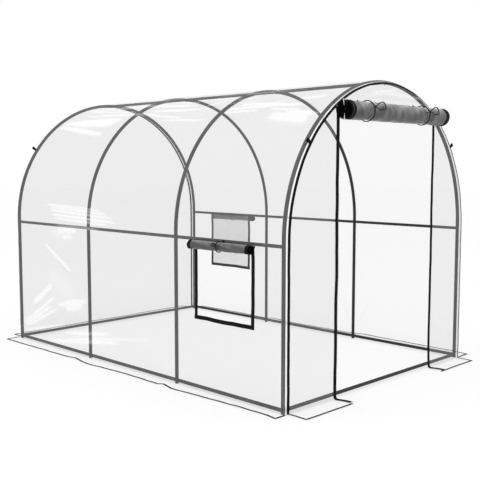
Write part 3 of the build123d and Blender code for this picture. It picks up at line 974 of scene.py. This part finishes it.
def rolled(name, span, node, axis, inward, hang, pitch, turns, ties, seed, painted_light_gain, grow=0.0, per_turn=36):
    """Film wound up to its roll, with the short flap that it hangs by, and its length on the flat.

    span is the stretch of the roll's axis that it covers, and hang the point that it hangs from, as
    (towards the film, up) from the roll's middle. pitch is the film's step inwards at each turn,
    ties are the places of the ties along the axis, and grow is how far it stands out.
    """
    low, high = (np.array(corner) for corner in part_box(node))
    axis, inward, centre = np.array(axis, float), np.array(inward, float), (low + high) / 2
    up = np.array([0.0, 0.0, 1.0])
    radius = (high[2] - low[2]) / 2 - 0.0025
    leave = math.atan2(hang[1], hang[0]) - math.acos(radius / math.hypot(*hang))
    angle = leave - np.linspace(0, 2 * math.pi * turns, turns * per_turn + 1)
    r = radius - pitch * (leave - angle) / (2 * math.pi) + grow
    tangent = np.array([radius * math.cos(leave), radius * math.sin(leave)])
    flap = hang + (tangent - hang) * np.arange(5)[:, None] / 5
    section = np.concatenate([flap, np.column_stack([r * np.cos(angle), r * np.sin(angle)])])
    theta = np.arctan2(section[:, 1], section[:, 0])
    wound = np.concatenate([np.zeros(len(flap)), leave - angle])
    on_roll = np.concatenate([np.linspace(0, 1, len(flap)), np.ones(len(angle))])
    length = np.concatenate([[0], np.cumsum(np.linalg.norm(np.diff(section, axis=0), axis=1))])
    chance = np.random.default_rng(seed)
    waves = [(k, chance.uniform(6, 60), chance.uniform(0, 6.3), chance.uniform(0.4, 1))
             for k in (1, 2, 3, 2, 4, 5)]
    creases = [(k, chance.choice([-1, 1]) * chance.uniform(70, 150), chance.uniform(0, 6.3),
                chance.uniform(0.2, 0.6)) for k in (1, 2, 1, 3, 2, 4, 3)]

    def place(a, row):
        row = np.rint(row).astype(int)
        lumps = sum(size * np.sin(k * theta[row] + wave * a + start)
                    for k, wave, start, size in waves + creases) / len(waves)
        pinch = sum(np.exp(-(((a - tie) / PINCH_W) ** 2)) for tie in ties)
        far = np.hypot(*section[row].T)
        swell = on_roll[row] * (LUMP * lumps - PINCH * pinch) * far / radius
        shape = section[row] * (1 + swell / np.maximum(far, 1e-4))[:, None]
        along = a + on_roll[row] * 0.0022 * np.sin(0.9 * wound[row] + seed)
        middle = centre - axis * (centre @ axis) + axis * along[:, None]
        points = middle + inward * shape[:, :1] + up * shape[:, 1:]
        # painted light: the roll's top is painted lighter, as if lit from above, and the crests of its lumps
        # get a painted highlight, both scaled by the gain passed in
        top_light = np.clip((np.sin(theta[row]) + 0.6) / 1.6, 0, 1)
        crest = 0.2 * np.maximum(lumps, 0) ** 1.5 + (0.15 + 0.6 * np.maximum(lumps + 0.4, 0)) * top_light**1.5
        return points, np.stack([a, length[row]], 1), np.clip(painted_light_gain * crest, 0, 1)

    return grid_sheet(name, spread(list(span), ROLL_STEP), np.arange(len(section)), place), length[-1]


def bands_of(name, wind, spans):
    """The zip's tape on a roll, wound up with the film."""
    bands = [rolled(f"{name}_{part}", span, grow=BAND_PROUD, **wind)[0] for part, span in spans.items()]
    return [settle(band, tape, "rolled_film") for band in bands]


tie_xs = {name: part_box(f"{name}_door_tie")[0].x + 0.008 for name in SIDES}
door_low, door_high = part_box("door_roll")
door_mid = ((door_low.y + door_high.y) / 2, (door_low.z + door_high.z) / 2)
door_wind = dict(node="door_roll", axis=(1, 0, 0), inward=(0, 1, 0), pitch=0.0075, turns=7,
                 seed=12, painted_light_gain=0.8, ties=list(tie_xs.values()),
                 hang=(-end_y - door_mid[0], door_top - door_mid[1]))
door_roll, door_length = rolled("door_roll_film", (door_low.x + 0.012, door_high.x - 0.012), **door_wind)
settle(door_roll, rolled_film, "rolled_film", "door_roll")
door_bands = bands_of("door_roll_zip", door_wind, {
    "outer_left": (door_low.x - BAND_PAST, door_low.x + 0.015),
    "inner_left": (door_low.x + 0.02, door_low.x + 0.04),
    "right": (door_high.x - 0.042, door_high.x + BAND_PAST),
})


def tucked_corner(name, turn):
    """A corner of the door's film that peeps out between the turns of tape at the roll's left end.

    turn is its place round the roll's middle.
    """
    out = np.array([0, math.cos(turn), math.sin(turn)])
    across = np.array([0, -math.sin(turn), math.cos(turn)])
    face = np.array([door_low.x - 0.004, *door_mid])

    def place(u, v):
        r = 0.022 + 0.041 * v
        points = face + out * r[:, None] + across * (u * (0.001 + 0.007 * v))[:, None]
        points[:, 0] -= 0.004 * (1 - 4 * u * u) * v
        # the corner's shine is full: it is painted pale all over, a painted highlight
        return points, np.stack([u * 0.014, r], 1), np.ones_like(u)

    piece = grid_sheet(name, np.linspace(-0.5, 0.5, 5), np.linspace(0, 1, 8), place)
    return settle(piece, rolled_film, "rolled_film")


door_corners = [tucked_corner(f"door_film_corner_{part}", math.radians(degrees))
                for part, degrees in (("top", 84), ("bottom", -92))]

for name, side in SIDES.items():
    low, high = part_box(f"{name}_window_roll")
    middle_x, middle_z = (low.x + high.x) / 2, (low.z + high.z) / 2
    wind = dict(node=f"{name}_window_roll", axis=(0, 1, 0), inward=(-side, 0, 0), pitch=0.0062, turns=4,
                seed=40 + side, painted_light_gain=0.35, per_turn=28, ties=[window_ys[side]],
                hang=(abs(middle_x) - film_r, window_high.z - middle_z))
    roll, roll_length = rolled(f"{name}_window_roll_film", (low.y + 0.01, high.y - 0.01), **wind)
    settle(roll, rolled_film, "rolled_film", f"{name}_window_roll")
    bands = bands_of(f"{name}_window_roll_zip", wind, {
        "front": (low.y - BAND_PAST, low.y + 0.026),
        "back": (high.y - 0.026, high.y + BAND_PAST),
    })


# Ties: a cord round each roll from its tab, bowed in front

CORD_D = 0.007
CORD_SUNK = 0.004  # the cord presses this far into the roll
KNOT_ANGLE = 160  # round the roll from its inner side, in degrees
TAB_W, TAB_THICK = 0.016, 0.0012
# lines of the cord on the roll's front, from the middle of the knot, as (along the roll, up), and
# in the knot and the loose end also how far out
DOOR_BOW = [(0.036, 0.014), (0.074, 0.034), (0.104, 0.036), (0.123, 0.014), (0.113, -0.012),
            (0.080, -0.022), (0.040, -0.012)]
WINDOW_BOW = [(0.010, 0.008), (0.022, 0.013), (0.032, 0.008), (0.034, -0.002), (0.024, -0.009),
              (0.010, -0.007)]
KNOT = [(-0.004, 0.003, 0.0), (0.001, 0.006, 0.003), (0.005, 0.001, 0.004), (0.001, -0.005, 0.003),
        (-0.004, -0.002, 0.002), (-0.003, 0.004, 0.005), (0.003, 0.003, 0.006), (0.005, -0.003, 0.001)]
LOOSE_END = [(0.001, 0.0, 0.004), (-0.006, -0.008, 0.004), (-0.010, -0.02, 0.001), (-0.018, -0.03, -0.003)]


def cord_run(points):
    """A length of cord along a smooth line by its control points."""
    bpy.ops.object.select_all(action="DESELECT")
    bpy.ops.curve.primitive_nurbs_path_add()
    run = bpy.context.object
    run.data.splines.clear()
    line = run.data.splines.new("NURBS")
    line.points.add(len(points) - 1)
    for point, place in zip(line.points, points):
        point.co = (*place, 1)
    line.order_u = 3
    line.use_endpoint_u = True
    run.data.resolution_u = 8
    run.data.bevel_depth = CORD_D / 2
    run.data.bevel_resolution = 3
    run.data.use_fill_caps = True
    bpy.ops.object.convert(target="MESH")
    run = bpy.context.object
    bpy.ops.object.shade_smooth()
    return run


def tie(name, centre, inward, along, roll_r, face, tab_top, bow):
    """A cord from its tab round the roll, with its knot and its bow on the roll's front.

    centre is the roll's middle. face is how far the film is from it, and tab_top how far up the
    tab's top is.
    """
    centre, inward, along = (np.array(v, float) for v in (centre, inward, along))
    up = np.array([0.0, 0.0, 1.0])
    r = roll_r - CORD_SUNK + CORD_D / 2

    def at(angle, out=0.0, aside=0.0):
        """A point of the cord where it goes round the roll, by its angle in degrees."""
        turn = math.radians(angle)
        return centre + inward * (r + out) * math.cos(turn) + up * (r + out) * math.sin(turn) + along * aside

    tab_foot = centre + inward * (face - 0.004)
    lower = [tab_foot + up * (tab_top - 0.004), centre + inward * (face - 0.003) + up * 0.012,
             *[at(angle, 0.0012, 0.001) for angle in range(-18, -200, -18)], at(KNOT_ANGLE + 4 - 360, 0.001)]
    upper = [tab_foot + up * (tab_top - 0.002), at(52, 0.004),
             *[at(angle, 0.0012, -0.001) for angle in range(70, KNOT_ANGLE, 18)], at(KNOT_ANGLE, 0.001)]

    turn = math.radians(KNOT_ANGLE)
    outward = inward * math.cos(turn) + up * math.sin(turn)
    lift = np.cross(along, outward)
    lift *= math.copysign(1, lift[2])
    knot = centre + outward * (r + 0.004)

    def on_front(a, b, out):
        """A point on the roll's front, from the knot's middle."""
        return knot + along * a + lift * b + outward * out

    bow_run = [on_front(a, b, 0.001 + 0.003 * math.sin(4 * a / bow[0][0] + k))
               for k, (a, b) in enumerate([(0, 0), *bow, (0, 0)])]
    knot_run, end_run = ([on_front(*spot) for spot in spots] for spots in (KNOT, LOOSE_END))
    piece = join(f"{name}_tie_cord", [cord_run(run) for run in (lower, upper, bow_run, knot_run, end_run)])
    return settle(piece, cord_black, "black_tape", f"{name}_tie")


def tab(name, top, facing, length):
    """A short piece of webbing that holds a tie, folded round the cord."""
    facing = np.array(facing, float)
    run = [(0.0, 0.0), (0.0, -0.5), (0.0012, -0.85), (0.0042, -1.0), (0.0062, -0.9), (0.0034, -0.72),
           (0.0016, -0.4)]
    path = smooth_run([np.array(top) + facing * a + np.array([0, 0, b * length]) for a, b in run], 0.002)
    across = np.cross(facing, (0, 0, 1))
    turned = np.cross(unit(np.gradient(path, axis=0)), across)
    piece = ribbon(f"{name}_tie_tab", path, turned, TAB_W, 0.0, TAB_THICK, columns=4)
    return settle(piece, webbing, "black_tape")


for name, x in tie_xs.items():
    tie_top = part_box(f"{name}_door_tie")[1].z
    piece = tie(f"{name}_door", (x, *door_mid), (0, 1, 0), (1, 0, 0), (door_high.z - door_low.z) / 2,
                -end_y - HALF_FILM - door_mid[0], tie_top - door_mid[1] - 0.02, DOOR_BOW)
    holder = tab(f"{name}_door", (x, -end_y - 0.002, tie_top), (0, -1, 0), 0.02)
for name, side in SIDES.items():
    low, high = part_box(f"{name}_window_roll")
    middle_x, middle_z = (low.x + high.x) / 2, (low.z + high.z) / 2
    tie_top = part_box(f"{name}_window_tie")[1].z
    y = window_ys[side]
    piece = tie(f"{name}_window", (middle_x, y, middle_z), (-side, 0, 0), (0, 1, 0), (high.z - low.z) / 2,
                abs(middle_x) - film_r - HALF_FILM, tie_top - middle_z - 0.004, WINDOW_BOW)
    holder = tab(f"{name}_window", (side * (film_r + 0.002), y, tie_top), (side, 0, 0), 0.01)


# Screw heads where the rails meet the hoops, on the inner side so that they don't tear the film

SCREW_R, SCREW_DEPTH = 0.0062, 0.0034
SCREW_STAND = 0.0012  # from the tube's surface to the middle of the head


def screw_head():
    """A domed head with a dished middle."""
    bpy.ops.object.select_all(action="DESELECT")
    bpy.ops.mesh.primitive_cylinder_add(vertices=20, radius=SCREW_R, depth=SCREW_DEPTH)
    piece = bpy.context.object
    edit_faces(piece, lambda centre, normal: normal.z > 0.9)
    bpy.ops.mesh.bevel(offset=0.0016, segments=3, affect="EDGES")
    bpy.ops.object.mode_set(mode="OBJECT")
    edit_faces(piece, lambda centre, normal: normal.z > 0.99)
    bpy.ops.mesh.inset(thickness=0.0022)
    bpy.ops.transform.translate(value=(0, 0, -0.0012))
    bpy.ops.object.mode_set(mode="OBJECT")
    only(piece)
    bpy.ops.object.shade_smooth_by_angle(angle=math.radians(35))
    return piece


side_rail_z, base_rail_z = (sum(corner.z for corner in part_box(f"left_{rail}_rail")) / 2
                            for rail in ("side", "base"))
inside = hoop_x - tube_r - SCREW_STAND
model_screw = screw_head()
screws = []
for y in hoop_ys:
    spots = [((0, y, spring_z + inside), (math.pi, 0, 0))]
    spots += [((side * inside, y, z), (0, -side * math.pi / 2, 0))
              for side in SIDES.values() for z in (side_rail_z, base_rail_z)]
    for place, turn in spots:
        head = copy_of(model_screw)
        head.location, head.rotation_euler = place, turn
        only(head)
        bpy.ops.object.transform_apply(location=True, rotation=True, scale=True)
        screws.append(head)
bpy.data.objects.remove(model_screw)
settle(join("frame_screws", screws), screw_black, "dark_steel")


# Floor and light

bpy.ops.object.select_all(action="DESELECT")
bpy.ops.mesh.primitive_plane_add(size=80)
floor = bpy.context.object
floor.name = "light_table"
floor.data.materials.append(studio_floor())
floor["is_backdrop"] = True

world = bpy.data.worlds.new("white_studio")
world.use_nodes = True
world.node_tree.nodes["Background"].inputs["Color"].default_value = (1, 1, 1, 1)
world.node_tree.nodes["Background"].inputs["Strength"].default_value = 1.0
bpy.context.scene.world = world

bpy.ops.object.light_add(type="AREA", location=(-3.0, -2.0, 6.0),
                         rotation=(math.radians(15), math.radians(-22), 0))
key = bpy.context.object
key.data.size = 5.0
key.data.energy = 45
bpy.context.scene.view_settings.view_transform = "Standard"

low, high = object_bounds()
